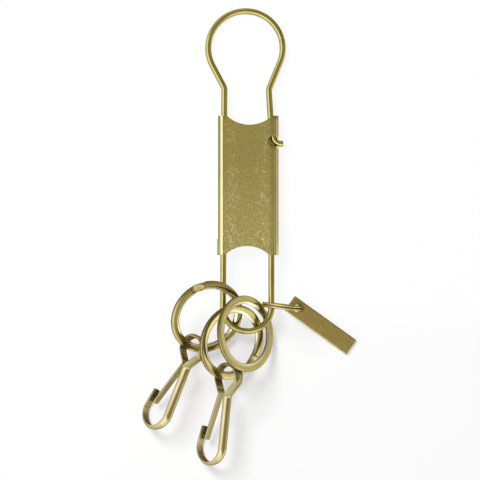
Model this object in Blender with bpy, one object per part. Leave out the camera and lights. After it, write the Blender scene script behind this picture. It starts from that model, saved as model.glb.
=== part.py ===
"""A brass key fob: a sprung wire loop in a sliding sleeve, with split rings, clips and a tag.

The loop, sleeve and latch are drawn flat in the loop's own plane: X across, Y towards the round
bow, Z up, all from the middle of the sleeve. The loop frame then tilts that plane, because the
U end lies on the rings while the bow lies on the table.
"""

import math

import bmesh
import bpy
import numpy as np
from mathutils import Matrix, Vector

MM = 0.001
FIT_GAP = 0.3 * MM
EMPTY_SIZE = 5.0 * MM

# Loop wire
WIRE_D = 2.28 * MM
BOW_X = -1.16 * MM
BOW_Y = 54.98 * MM
BOW_RADIUS = 14.92 * MM
NECK_LEFT_X = -9.3 * MM
NECK_LEFT_Y = 39.14 * MM
NECK_RIGHT_X = 8.42 * MM
NECK_RIGHT_Y = 38.58 * MM
NECK_BEND_RADIUS = 4.0 * MM
U_Y = -48.74 * MM
BREAK_BELOW_TOP = 14.25 * MM

# Latch: the sprung end of the wire, which comes out of the sleeve's hole. Its bends are placed from
# the sleeve's right edge and top edge
LATCH_KNEE_IN = 3.15 * MM
LATCH_KNEE_DOWN = 1.35 * MM
LATCH_KNEE_RADIUS = 12.0 * MM
LATCH_CORNER_IN = 1.6 * MM
LATCH_CORNER_DOWN = 11.35 * MM
LATCH_BEND_RADIUS = 3.0 * MM
LATCH_TIP_OUT = 1.9 * MM
LATCH_TIP_DOWN = 11.1 * MM

# Sleeve, and the room for the wire inside it
SLEEVE_WIDTH = 24.2 * MM
SLEEVE_LENGTH = 55.7 * MM
SLEEVE_WALL = 0.7 * MM
WIRE_TO_FACE_GAP = 0.36 * MM
LEFT_LEG_GAP = 0.12 * MM
RIGHT_LEG_GAP = 1.04 * MM
THUMB_CUT_CHORD = 18.0 * MM
THUMB_CUT_DEPTH = 3.6 * MM
THUMB_CUT_TOP_X = 0.5 * MM
THUMB_CUT_BOTTOM_X = -0.5 * MM
LATCH_HOLE_ROOM = 1.06 * MM
LATCH_HOLE_IN = 1.7 * MM
LATCH_HOLE_DOWN = 10.35 * MM
SEAM_LIP_OUT = 0.6 * MM
SEAM_LIP_LENGTH = 6.2 * MM
SEAM_LIP_RAMP = 0.5 * MM

# How the loop lies
BOW_REST_GAP = 0.05 * MM
LOOP_TILT = math.radians(-2.3)

# Split rings: two flat coils of one strip, joined by a jog
RING_OUTER_RADIUS = 15.3 * MM
RING_STRIP_WIDTH = 3.35 * MM
RING_STRIP_THICKNESS = 0.7 * MM
RING_COIL_GAP = 0.12 * MM
RING_JOG_ANGLE = math.radians(16)

# Name, middle seen from the foot of the loop's U and rise over the table, both as shares of the
# ring's outer radius, direction of the level diameter, tilt, coil end, and how far out its hinge is:
# in the middle for a ring that turns through the loop, at the low edge for the one that lifts
RINGS = (
    ("split_ring_a", (-1.055, 0.39), 0.128, 47, 31.7, 74, 0.0),
    ("split_ring_b", (-0.412, -0.272), 0.034, 71, 37.8, -100, 0.0),
    ("split_ring_c", (-0.051, -0.052), 0.0993, 96, 44.8, -44, 1.0),
)

# Tag's own small split ring, standing on edge round the loop's right leg
TAG_RING_OUTER_RADIUS = 8.4 * MM
TAG_RING_STRIP_WIDTH = 1.1 * MM
TAG_RING_STRIP_THICKNESS = 1.35 * MM
TAG_RING_COIL_GAP = 0.12 * MM
TAG_RING_FROM_LEG = 4.58 * MM
TAG_RING_FROM_U = 0.29 * MM
TAG_RING_REST_GAP = 0.1 * MM
TAG_RING_TURN = -6.5
TAG_RING_COIL_END = -170

# Tag
TAG_LENGTH = 30.6 * MM
TAG_WIDTH = 7.1 * MM
TAG_THICKNESS = 1.2 * MM
TAG_BEVEL = 0.35 * MM
TAG_HOLE_D = 3.8 * MM
TAG_HOLE_INSET = 3.5 * MM
TAG_TURN = -35.8
TAG_TILT = 5.2
TAG_HOLE_RING_ANGLE = -44.0

# Spring clips: one half-round strip each, drawn with X towards the main arm and Y towards the eye
CLIP_STRIP_THICKNESS = 1.35 * MM
CLIP_ARM_WIDTH = 3.5 * MM
CLIP_EYE_WIDTH = 4.6 * MM
CLIP_FLANK_WIDTH = 3.8 * MM
CLIP_GATE_WIDTH = 2.9 * MM
CLIP_NOSE_WIDTH = 3.2 * MM
EYE_LEFT = -2.2 * MM
EYE_RIGHT = 10.1 * MM
EYE_TOP = -0.65 * MM
EYE_SHOULDER = -7.2 * MM
EYE_CROWN_RADIUS = 4.8 * MM
EYE_SHOULDER_RADIUS = 4.0 * MM
EYE_MIDDLE = -6.6 * MM
ARM_NECK_X = 4.8 * MM
ARM_NECK_Y = -13.4 * MM
ARM_NECK_RADIUS = 2.4 * MM
GATE_NECK_RADIUS = 1.2 * MM
HOOK_X = -1.32 * MM
HOOK_Y = -34.5 * MM
HOOK_RADIUS = 6.75 * MM
NOSE_TIP_X = -6.56 * MM
NOSE_TIP_Y = -26.6 * MM
GATE_TIP_X = -3.8 * MM
GATE_TIP_Y = -31.7 * MM

# The bend where the gate begins differs a little between the two
GATE_NECK_A_X = 2.5 * MM
GATE_NECK_A_Y = -12.0 * MM
GATE_NECK_B_X = 0.6 * MM
GATE_NECK_B_Y = -12.4 * MM

# Name, its ring, the eye's middle as an angle round the ring, a reach beyond the middle of the
# ring's strip and a height over its plane, both as shares of the strip's width, then the turn in
# plan, the roll that lifts the main arm, the pitch that lifts the eye, and the gate's bend
CLIPS = (
    ("clip_a", "split_ring_a", -163.62, 0.269, 0.895, -22.4, 45.0, 1.4, (GATE_NECK_A_X, GATE_NECK_A_Y)),
    ("clip_b", "split_ring_b", -169.65, 0.319, 0.743, -6.6, 45.0, 1.2, (GATE_NECK_B_X, GATE_NECK_B_Y)),
)

# Facets
WIRE_SIDES = 12
WIRE_STEP = math.radians(11.25)
CUT_CHORD = math.radians(1)
RING_STEP = math.radians(8)
TAG_RING_STEP = math.radians(10)
CLIP_STEP = math.radians(12)
SLEEVE_EDGE_STEPS = 8
THUMB_CUT_SIDES = 96


def clear_scene():
    for old in list(bpy.data.objects):
        bpy.data.objects.remove(old, do_unlink=True)


def brass(name, colour, roughness):
    material = bpy.data.materials.new(name)
    material.use_nodes = True
    shader = material.node_tree.nodes["Principled BSDF"]
    shader.inputs["Base Color"].default_value = (*colour, 1.0)
    shader.inputs["Metallic"].default_value = 1.0
    shader.inputs["Roughness"].default_value = roughness
    return material


def new_object(name, mesh_maker, material, parent, smooth=True):
    """An object under its parent whose mesh the given bmesh holds."""
    mesh = bpy.data.meshes.new(name)
    bmesh.ops.recalc_face_normals(mesh_maker, faces=mesh_maker.faces)
    mesh_maker.to_mesh(mesh)
    mesh_maker.free()
    mesh.materials.append(material)
    piece = bpy.data.objects.new(name, mesh)
    piece.parent = parent
    bpy.context.collection.objects.link(piece)
    if smooth:
        mesh.shade_smooth()
        mesh.set_sharp_from_angle(angle=math.radians(40))
    return piece


def new_empty(name, parent, matrix):
    empty = bpy.data.objects.new(name, None)
    empty.empty_display_size = EMPTY_SIZE
    empty.parent = parent
    empty.matrix_local = matrix
    bpy.context.collection.objects.link(empty)
    return empty


def arc(centre, radius, start, stop, step):
    """Points on a circle from one angle to another, both ends included."""
    count = max(1, round(abs(stop - start) / step))
    angles = np.linspace(start, stop, count + 1)
    return [Vector((centre[0] + radius * math.cos(a), centre[1] + radius * math.sin(a))) for a in angles]


def tangent_angle(corner, centre, radius, side):
    """Where on the circle the line from the corner touches it, on the side given as 1 or -1."""
    away = Vector(corner) - Vector(centre)
    return math.atan2(away.y, away.x) + side * math.acos(radius / away.length)


def fillet(before, corner, after, radius, step):
    """The bend that rounds a corner between two straight stretches."""
    before, corner, after = Vector(before), Vector(corner), Vector(after)
    arriving = (corner - before).normalized()
    leaving = (after - corner).normalized()
    turn = arriving.angle_signed(leaving)
    # angle_signed is positive clockwise
    side = -1 if turn > 0 else 1
    start = corner - arriving * radius * math.tan(abs(turn) / 2)
    centre = start + side * radius * Vector((-arriving.y, arriving.x))
    first = math.atan2(start.y - centre.y, start.x - centre.x)
    return arc(centre, radius, first, first + side * abs(turn), step)


def arc_from_cut(centre, radius, start, stop, step):
    """An arc whose first chord is short, so that the face at its cut start is square."""
    second = start + math.copysign(CUT_CHORD, stop - start)
    return arc(centre, radius, start, second, step)[:1] + arc(centre, radius, second, stop, step)


def sweep(stations, sections):
    """A closed bmesh body through closed sections, one at each station, capped at both ends."""
    maker = bmesh.new()
    loops = []
    for place, section in zip(stations, sections):
        loops.append([maker.verts.new(place @ Vector((across, up, 0.0))) for across, up in section])
    for near, far in zip(loops, loops[1:]):
        for i in range(len(near)):
            j = (i + 1) % len(near)
            maker.faces.new((near[i], near[j], far[j], far[i]))
    maker.faces.new(loops[0][::-1])
    maker.faces.new(loops[-1])
    return maker


def flat_stations(path):
    """A frame at each point of a flat path: X points to its right, Y up, Z along it."""
    stations = []
    for i, point in enumerate(path):
        behind = path[max(i - 1, 0)]
        ahead = path[min(i + 1, len(path) - 1)]
        along = (ahead - behind).normalized()
        right = Vector((along.y, -along.x))
        axes = Matrix(((right.x, 0, along.x), (right.y, 0, along.y), (0, 1, 0))).to_4x4()
        stations.append(Matrix.Translation((point.x, point.y, 0)) @ axes)
    return stations


def wire_section():
    angles = [2 * math.pi * i / WIRE_SIDES for i in range(WIRE_SIDES)]
    return [(WIRE_D / 2 * math.cos(a), WIRE_D / 2 * math.sin(a)) for a in angles]


def wire_body(path):
    return sweep(flat_stations(path), [wire_section()] * len(path))


# What follows from the sizes above
SLEEVE_THICKNESS = WIRE_D + 2 * (SLEEVE_WALL + WIRE_TO_FACE_GAP)
SLEEVE_RIGHT = SLEEVE_WIDTH / 2
SLEEVE_TOP = SLEEVE_LENGTH / 2
LEFT_LEG_X = -(SLEEVE_WIDTH / 2 - SLEEVE_WALL - LEFT_LEG_GAP - WIRE_D / 2)
RIGHT_LEG_X = SLEEVE_WIDTH / 2 - SLEEVE_WALL - RIGHT_LEG_GAP - WIRE_D / 2
U_X = (LEFT_LEG_X + RIGHT_LEG_X) / 2
U_RADIUS = (RIGHT_LEG_X - LEFT_LEG_X) / 2
BREAK_Y = SLEEVE_TOP - BREAK_BELOW_TOP
BOW_CENTRE = (BOW_X, BOW_Y)
NECK_LEFT = (NECK_LEFT_X, NECK_LEFT_Y)
NECK_RIGHT = (NECK_RIGHT_X, NECK_RIGHT_Y)
U_CENTRE = (U_X, U_Y)
LATCH_KNEE = (SLEEVE_RIGHT - LATCH_KNEE_IN, SLEEVE_TOP - LATCH_KNEE_DOWN)
LATCH_CORNER = (SLEEVE_RIGHT - LATCH_CORNER_IN, SLEEVE_TOP - LATCH_CORNER_DOWN)
LATCH_TIP = (SLEEVE_RIGHT + LATCH_TIP_OUT, SLEEVE_TOP - LATCH_TIP_DOWN)
LATCH_HOLE = (SLEEVE_RIGHT - LATCH_HOLE_IN, SLEEVE_TOP - LATCH_HOLE_DOWN)
BOW_CUT_HALF_ANGLE = FIT_GAP / 2 / BOW_RADIUS


def loop_path():
    """From the cut at the bow's right side, over the bow, down, round the U and up to the break."""
    left_touch = 2 * math.pi + tangent_angle(NECK_LEFT, BOW_CENTRE, BOW_RADIUS, -1)
    bow = arc_from_cut(BOW_CENTRE, BOW_RADIUS, BOW_CUT_HALF_ANGLE, left_touch, WIRE_STEP)
    u_turn = arc(U_CENTRE, U_RADIUS, math.pi, 2 * math.pi, WIRE_STEP)
    neck = fillet(bow[-1], NECK_LEFT, u_turn[0], NECK_BEND_RADIUS, WIRE_STEP)
    return bow + neck + u_turn + [Vector((u_turn[-1].x, BREAK_Y))]


def latch_path():
    """From the cut at the bow's right side down the sprung leg to the tip."""
    right_touch = tangent_angle(NECK_RIGHT, BOW_CENTRE, BOW_RADIUS, 1)
    bow = arc_from_cut(BOW_CENTRE, BOW_RADIUS, -BOW_CUT_HALF_ANGLE, right_touch, WIRE_STEP)
    neck = fillet(bow[-1], NECK_RIGHT, LATCH_KNEE, NECK_BEND_RADIUS, WIRE_STEP)
    knee = fillet(NECK_RIGHT, LATCH_KNEE, LATCH_CORNER, LATCH_KNEE_RADIUS, WIRE_STEP)
    bend = fillet(LATCH_KNEE, LATCH_CORNER, LATCH_TIP, LATCH_BEND_RADIUS, WIRE_STEP)
    return bow + neck + knee + bend + [Vector(LATCH_TIP)]


def obround(width, height, steps):
    """A flat section with fully rounded ends, counter-clockwise from the right end's foot."""
    radius = height / 2
    reach = width / 2 - radius
    right = arc((reach, 0), radius, -math.pi / 2, math.pi / 2, math.pi / steps)
    left = arc((-reach, 0), radius, math.pi / 2, 3 * math.pi / 2, math.pi / steps)
    return right + left


def sleeve_body():
    """An open flat tube along Y, with its lower left edge pushed out into a lip."""
    maker = bmesh.new()
    outer = obround(SLEEVE_WIDTH, SLEEVE_THICKNESS, SLEEVE_EDGE_STEPS)
    inner = obround(SLEEVE_WIDTH - 2 * SLEEVE_WALL, SLEEVE_THICKNESS - 2 * SLEEVE_WALL, SLEEVE_EDGE_STEPS)
    foot = -SLEEVE_LENGTH / 2
    lip_top = foot + SEAM_LIP_LENGTH
    levels = ((foot, SEAM_LIP_OUT), (lip_top, SEAM_LIP_OUT), (lip_top + SEAM_LIP_RAMP, 0), (-foot, 0))
    walls = []
    for level, lip in levels:
        for outline in (outer, inner):
            loop = []
            for x, z in outline:
                share = min(1, max(0, -(x + SLEEVE_WIDTH / 2 - SLEEVE_THICKNESS) / SLEEVE_THICKNESS))
                low = min(1, max(0, 0.6 - z / SLEEVE_THICKNESS))
                loop.append(maker.verts.new((x - lip * share * low, level, z)))
            walls.append(loop)
    count = len(outer)
    for k in range(len(levels) - 1):
        for side in (0, 1):
            near, far = walls[2 * k + side], walls[2 * k + 2 + side]
            for i in range(count):
                j = (i + 1) % count
                maker.faces.new((near[i], near[j], far[j], far[i]))
    for first in (0, 2 * len(levels) - 2):
        for i in range(count):
            j = (i + 1) % count
            maker.faces.new((walls[first][i], walls[first][j], walls[first + 1][j], walls[first + 1][i]))
    return maker


def cutter(name, maker, parent):
    tool = new_object(name, maker, bpy.data.materials["brass_sleeve"], parent, smooth=False)
    tool.display_type = "WIRE"
    tool.hide_render = True
    return tool


def upright_prism(outline, low, high):
    maker = bmesh.new()
    foot = maker.faces.new([maker.verts.new((x, y, low)) for x, y in outline])
    raised = bmesh.ops.extrude_face_region(maker, geom=[foot])
    moved = [v for v in raised["geom"] if isinstance(v, bmesh.types.BMVert)]
    bmesh.ops.translate(maker, verts=moved, vec=(0, 0, high - low))
    return maker


def add_cut(piece, tool):
    cut = piece.modifiers.new(tool.name, "BOOLEAN")
    cut.operation = "DIFFERENCE"
    cut.solver = "EXACT"
    cut.object = tool


def make_sleeve(material, parent):
    sleeve = new_object("sleeve", sleeve_body(), material, parent)
    thumb_radius = ((THUMB_CUT_CHORD / 2) ** 2 + THUMB_CUT_DEPTH**2) / (2 * THUMB_CUT_DEPTH)
    thumb_reach = SLEEVE_LENGTH / 2 - THUMB_CUT_DEPTH + thumb_radius
    for name, x, y in (
        ("thumb_cut_top", THUMB_CUT_TOP_X, thumb_reach),
        ("thumb_cut_bottom", THUMB_CUT_BOTTOM_X, -thumb_reach),
    ):
        step = 2 * math.pi / THUMB_CUT_SIDES
        circle = arc((x, y), thumb_radius, 0, 2 * math.pi - step, step)
        add_cut(sleeve, cutter(name, upright_prism(circle, -SLEEVE_THICKNESS, SLEEVE_THICKNESS), sleeve))
    end_radius = WIRE_D / 2 + LATCH_HOLE_ROOM
    left_end = arc(LATCH_HOLE, end_radius, math.pi / 2, 3 * math.pi / 2, math.pi / 12)
    beyond = SLEEVE_WIDTH / 2 + SLEEVE_WALL
    slot = left_end + [Vector((beyond, left_end[-1].y)), Vector((beyond, left_end[0].y))]
    floor = -SLEEVE_THICKNESS / 2 + SLEEVE_WALL
    add_cut(sleeve, cutter("latch_hole", upright_prism(slot, floor, SLEEVE_THICKNESS), sleeve))
    return sleeve


def ring_section(width, thickness):
    """A strip's rounded flat section, with across along X and its thickness along Y."""
    half, rise = width / 2, thickness / 2
    return [
        (half, -0.35 * rise),
        (half, 0.35 * rise),
        (0.68 * half, rise),
        (-0.68 * half, rise),
        (-half, 0.35 * rise),
        (-half, -0.35 * rise),
        (-0.68 * half, -rise),
        (0.68 * half, -rise),
    ]


def split_ring_body(outer_radius, width, thickness, coil_gap, jog_angle, end_angle, step):
    """Two clockwise coils of one strip round Z, the upper one ending at the angle given."""
    pitch = thickness + coil_gap
    coil = 2 * math.pi - jog_angle
    clear = 0.12 * jog_angle
    radius = outer_radius - width / 2
    start = end_angle - jog_angle
    lower = list(np.linspace(0, coil, round(coil / step) + 1))
    jog = list(coil + clear + np.linspace(0, 1, 5) * (jog_angle - 2 * clear))
    upper = [coil + jog_angle + turned for turned in lower]
    stations = []
    for turned in lower + jog + upper:
        climbed = min(1, max(0, (turned - coil - clear) / (jog_angle - 2 * clear)))
        eased = climbed * climbed * (3 - 2 * climbed)
        angle = start - turned
        out = Vector((math.cos(angle), math.sin(angle), 0))
        centre = out * radius + Vector((0, 0, (eased - 0.5) * pitch))
        along = Vector((0, 0, 1)).cross(out)
        axes = Matrix((out, (0, 0, 1), along)).transposed().to_4x4()
        stations.append(Matrix.Translation(centre) @ axes)
    return sweep(stations, [ring_section(width, thickness)] * len(stations))


def moved_body(maker, offset):
    bmesh.ops.translate(maker, verts=maker.verts, vec=offset)
    return maker


def ring_place(from_u, rise, level_turn, tilt):
    """A leaning ring's frame over the table, with Z along the ring's own axis."""
    lean = math.radians(tilt)
    across, along = (share * RING_OUTER_RADIUS for share in from_u)
    height = RING_OUTER_RADIUS * (math.sin(lean) + rise)
    middle = Vector((U_X + across, U_Y - U_RADIUS + along, height))
    turn = Matrix.Rotation(math.radians(level_turn), 4, "Z") @ Matrix.Rotation(lean, 4, "X")
    return Matrix.Translation(middle) @ turn


def make_ring(name, place, hinge_out, coil_end, material, parent):
    """A split ring under an empty in its middle, or out towards the low edge by a share."""
    low_side = Vector((0, -RING_OUTER_RADIUS * hinge_out, 0))
    hinge = new_empty(name + "_hinge", parent, place @ Matrix.Translation(low_side))
    body = split_ring_body(
        RING_OUTER_RADIUS,
        RING_STRIP_WIDTH,
        RING_STRIP_THICKNESS,
        RING_COIL_GAP,
        RING_JOG_ANGLE,
        math.radians(coil_end),
        RING_STEP,
    )
    return new_object(name, moved_body(body, -low_side), material, hinge)


def half_round(width):
    """The clip strip's section: half an ellipse with its dome at +X and its flat inner face at -X."""
    flat = -CLIP_STRIP_THICKNESS / 2
    angles = [math.radians(a) for a in (-90, -64, -38, -12, 12, 38, 64, 90)]
    return [(flat + CLIP_STRIP_THICKNESS * math.cos(a), width / 2 * math.sin(a)) for a in angles]


ARM_NECK = (ARM_NECK_X, ARM_NECK_Y)
GATE_TIP = (GATE_TIP_X, GATE_TIP_Y)
NOSE_TIP = (NOSE_TIP_X, NOSE_TIP_Y)
EYE_CENTRE = ((EYE_LEFT + EYE_RIGHT) / 2, EYE_MIDDLE)
HOOK_CENTRE = (HOOK_X, HOOK_Y)


def clip_strip(gate_neck_at):
    """The strip's path and widths, from the nose round the hook and the eye to the gate's root."""
    nose_touch = tangent_angle(NOSE_TIP, HOOK_CENTRE, HOOK_RADIUS, 1)
    arm_touch = tangent_angle(ARM_NECK, HOOK_CENTRE, HOOK_RADIUS, -1) + 2 * math.pi
    hook = arc(HOOK_CENTRE, HOOK_RADIUS, nose_touch, arm_touch, CLIP_STEP)
    right_shoulder, top_right = (EYE_RIGHT, EYE_SHOULDER), (EYE_RIGHT, EYE_TOP)
    top_left, left_shoulder = (EYE_LEFT, EYE_TOP), (EYE_LEFT, EYE_SHOULDER)
    arm_neck = fillet(hook[-1], ARM_NECK, right_shoulder, ARM_NECK_RADIUS, CLIP_STEP)
    eye = fillet(ARM_NECK, right_shoulder, top_right, EYE_SHOULDER_RADIUS, CLIP_STEP)
    eye += fillet(right_shoulder, top_right, top_left, EYE_CROWN_RADIUS, CLIP_STEP)
    eye += fillet(top_right, top_left, left_shoulder, EYE_CROWN_RADIUS, CLIP_STEP)
    eye += fillet(top_left, left_shoulder, gate_neck_at, EYE_SHOULDER_RADIUS, CLIP_STEP)
    gate_neck = fillet(left_shoulder, gate_neck_at, GATE_TIP, GATE_NECK_RADIUS, CLIP_STEP)
    path = [Vector(NOSE_TIP)] + hook + arm_neck + eye + gate_neck
    widths = [CLIP_NOSE_WIDTH]
    widths += list(np.linspace(CLIP_NOSE_WIDTH, CLIP_ARM_WIDTH, len(hook)))
    widths += list(np.linspace(CLIP_ARM_WIDTH, CLIP_EYE_WIDTH, len(arm_neck)))
    widths += list(np.linspace(CLIP_EYE_WIDTH, CLIP_FLANK_WIDTH, len(eye)))
    widths += list(np.linspace(CLIP_FLANK_WIDTH, CLIP_GATE_WIDTH, len(gate_neck)))
    return path, widths


def make_clip(name, ring, ring_angle, out, over, plan_turn, roll, pitch, gate_neck_at, material, parent):
    """A clip's body and its gate, both under an empty in the middle of the eye that the ring fills."""
    angle = math.radians(ring_angle)
    reach = RING_OUTER_RADIUS - RING_STRIP_WIDTH / 2 + out * RING_STRIP_WIDTH
    eye_at = ring @ Vector((reach * math.cos(angle), reach * math.sin(angle), over * RING_STRIP_WIDTH))
    turn = Matrix.Rotation(math.radians(plan_turn), 4, "Z")
    turn = turn @ Matrix.Rotation(math.radians(pitch), 4, "X") @ Matrix.Rotation(math.radians(-roll), 4, "Y")
    hinge = new_empty(name + "_hinge", parent, Matrix.Translation(eye_at) @ turn)
    path, widths = clip_strip(gate_neck_at)
    sections = [half_round(width) for width in widths]
    to_eye = Vector((-EYE_CENTRE[0], -EYE_CENTRE[1], 0))
    body = new_object(name + "_body", moved_body(sweep(flat_stations(path), sections), to_eye), material, hinge)
    down_gate = (Vector(GATE_TIP) - path[-1]).normalized()
    gate_start = path[-1] + down_gate * FIT_GAP
    pivot = ((path[-1] + gate_start) / 2).to_3d()
    gate_hinge = new_empty(name + "_gate_hinge", hinge, Matrix.Translation(pivot + to_eye))
    gate_path = [gate_start, Vector(GATE_TIP)]
    gate_body = sweep(flat_stations(gate_path), [half_round(CLIP_GATE_WIDTH)] * 2)
    gate = new_object(name + "_gate", moved_body(gate_body, -pivot), material, gate_hinge)
    return body, gate


def tag_body():
    """A flat bar along X from its hole, with softened edges."""
    near, far = -TAG_HOLE_INSET, TAG_LENGTH - TAG_HOLE_INSET
    half = TAG_WIDTH / 2
    corners = [Vector((near, -half)), Vector((far, -half)), Vector((far, half)), Vector((near, half))]
    maker = upright_prism(corners, -TAG_THICKNESS / 2, TAG_THICKNESS / 2)
    bmesh.ops.bevel(
        maker, geom=maker.edges[:], offset=TAG_BEVEL, segments=2, profile=0.5, affect="EDGES", clamp_overlap=True
    )
    return maker


def make_tag(ring_matrix, material, parent):
    """The tag, pierced by its ring at the angle where the ring comes down through it."""
    angle = math.radians(TAG_HOLE_RING_ANGLE)
    radius = TAG_RING_OUTER_RADIUS - TAG_RING_STRIP_WIDTH / 2
    place = ring_matrix @ Vector((radius * math.cos(angle), radius * math.sin(angle), 0))
    turn = Matrix.Rotation(math.radians(TAG_TURN), 4, "Z") @ Matrix.Rotation(math.radians(TAG_TILT), 4, "Y")
    hinge = new_empty("tag_hinge", parent, Matrix.Identity(4))
    tag = new_object("tag", tag_body(), material, hinge, smooth=False)
    tag.matrix_local = ring_matrix.inverted() @ Matrix.Translation(place) @ turn
    hole = arc((0, 0), TAG_HOLE_D / 2, 0, 2 * math.pi * 23 / 24, 2 * math.pi / 24)
    add_cut(tag, cutter("tag_hole", upright_prism(hole, -TAG_THICKNESS, TAG_THICKNESS), tag))
    return tag


def stand_on_origin(root):
    """Moves the root so that the middle of everything's underside is at the world's origin."""
    bpy.context.view_layer.update()
    graph = bpy.context.evaluated_depsgraph_get()
    corners = []
    for piece in bpy.data.objects:
        if piece.type != "MESH" or piece.hide_render:
            continue
        mesh = piece.evaluated_get(graph).to_mesh()
        corners += [piece.matrix_world @ vertex.co for vertex in mesh.vertices]
    low = [min(corner[k] for corner in corners) for k in range(3)]
    high = [max(corner[k] for corner in corners) for k in range(3)]
    root.location = (-(low[0] + high[0]) / 2, -(low[1] + high[1]) / 2, -low[2])
    bpy.context.view_layer.update()


def main():
    clear_scene()
    wire_brass = brass("brass_wire", (0.56, 0.46, 0.17), 0.25)
    sleeve_brass = brass("brass_sleeve", (0.44, 0.36, 0.12), 0.45)
    ring_brass = brass("brass_rings", (0.50, 0.42, 0.15), 0.30)
    clip_brass = brass("brass_clips", (0.48, 0.39, 0.16), 0.33)
    tag_brass = brass("brass_tag", (0.42, 0.34, 0.11), 0.40)

    root = new_empty("fob_root", None, Matrix.Identity(4))
    bow_top = BOW_Y + BOW_RADIUS
    lift = Matrix.Translation((0, bow_top, WIRE_D / 2 + BOW_REST_GAP))
    tilted = lift @ Matrix.Rotation(LOOP_TILT, 4, "X") @ Matrix.Translation((0, -bow_top, 0))
    loop_frame = new_empty("loop_frame", root, tilted)
    new_object("loop_wire", wire_body(loop_path()), wire_brass, loop_frame)

    flex = Vector((BOW_X + BOW_RADIUS, BOW_Y, 0))
    latch_hinge = new_empty("latch_leg_hinge", loop_frame, Matrix.Translation(flex))
    new_object("latch_leg", moved_body(wire_body(latch_path()), -flex), wire_brass, latch_hinge)
    make_sleeve(sleeve_brass, loop_frame)

    places = {}
    for name, from_u, rise, level_turn, tilt, coil_end, hinge_out in RINGS:
        places[name] = ring_place(from_u, rise, level_turn, tilt)
        make_ring(name, places[name], hinge_out, coil_end, ring_brass, root)

    for name, ring_name, *rest in CLIPS:
        make_clip(name, places[ring_name], *rest, clip_brass, root)

    on_edge = Matrix.Rotation(math.radians(TAG_RING_TURN), 4, "Z") @ Matrix.Rotation(math.pi / 2, 4, "X")
    tag_ring_x = U_X + U_RADIUS + TAG_RING_FROM_LEG
    tag_ring_y = U_Y + TAG_RING_FROM_U
    tag_ring_z = TAG_RING_OUTER_RADIUS + TAG_RING_REST_GAP
    ring_matrix = Matrix.Translation((tag_ring_x, tag_ring_y, tag_ring_z)) @ on_edge
    tag_ring_frame = new_empty("tag_ring_frame", root, ring_matrix)
    tag_ring = split_ring_body(
        TAG_RING_OUTER_RADIUS,
        TAG_RING_STRIP_WIDTH,
        TAG_RING_STRIP_THICKNESS,
        TAG_RING_COIL_GAP,
        2 * RING_JOG_ANGLE,
        math.radians(TAG_RING_COIL_END),
        TAG_RING_STEP,
    )
    new_object("tag_ring", tag_ring, ring_brass, tag_ring_frame)
    make_tag(ring_matrix, tag_brass, tag_ring_frame)
    stand_on_origin(root)


main()
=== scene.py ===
import math

import bmesh
import bpy
import numpy as np
from mathutils import Matrix, Vector


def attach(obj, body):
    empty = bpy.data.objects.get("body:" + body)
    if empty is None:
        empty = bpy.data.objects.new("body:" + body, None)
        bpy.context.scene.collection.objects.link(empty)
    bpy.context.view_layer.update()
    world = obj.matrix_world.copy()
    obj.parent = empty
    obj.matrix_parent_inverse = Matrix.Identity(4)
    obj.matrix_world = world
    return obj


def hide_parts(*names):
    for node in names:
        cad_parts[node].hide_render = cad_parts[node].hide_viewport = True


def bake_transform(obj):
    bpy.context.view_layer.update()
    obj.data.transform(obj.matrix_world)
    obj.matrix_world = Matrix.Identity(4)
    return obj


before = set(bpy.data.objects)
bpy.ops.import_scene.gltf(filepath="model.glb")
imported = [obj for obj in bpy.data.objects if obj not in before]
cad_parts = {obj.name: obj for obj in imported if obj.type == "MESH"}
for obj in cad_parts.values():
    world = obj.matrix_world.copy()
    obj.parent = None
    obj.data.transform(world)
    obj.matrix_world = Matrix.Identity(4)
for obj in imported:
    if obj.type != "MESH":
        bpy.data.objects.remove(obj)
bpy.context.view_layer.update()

# Looks of the brass key fob. Every piece is drawn again in fine steps where its solid stands, and
# gets rounded edges, worn corners and a brass of its own, with painted highlights and painted shade.
# Turns, tilts and twists are in degrees.

MM = 0.001

# Place of the whole part: the origin is under the middle of everything
ROOT_X = -0.402 * MM
ROOT_Y = 20.502 * MM
ROOT_Z = -0.051 * MM

# Loop wire, drawn flat from the sleeve's middle with Y towards the bow, and a little thicker than the
# solid's wire, whose size places it
WIRE_D = 2.28 * MM
SEEN_WIRE_D = 2.42 * MM
BOW_CENTRE = (-1.16 * MM, 54.98 * MM)
BOW_RADIUS = 14.92 * MM
NECK_LEFT = (-9.6 * MM, 39.0 * MM)
NECK_RIGHT = (8.2 * MM, 38.4 * MM)
NECK_BEND_RADIUS = 4.0 * MM
U_Y = -48.74 * MM
BREAK_BELOW_TOP = 14.25 * MM
BOW_REST_GAP = 0.05 * MM
LOOP_TILT = math.radians(-2.3)

# Latch, from the sleeve's right and top edges
LATCH_KNEE_IN = 3.15 * MM
LATCH_KNEE_DOWN = 1.35 * MM
LATCH_KNEE_RADIUS = 12.0 * MM
LATCH_CORNER_IN = 1.6 * MM
LATCH_CORNER_DOWN = 11.35 * MM
LATCH_BEND_RADIUS = 3.0 * MM
LATCH_TIP_OUT = 1.9 * MM
LATCH_TIP_DOWN = 11.1 * MM
LATCH_TIP_ROUNDING = 0.35 * MM
FLEX_HALF_ANGLE = math.radians(14)

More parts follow.
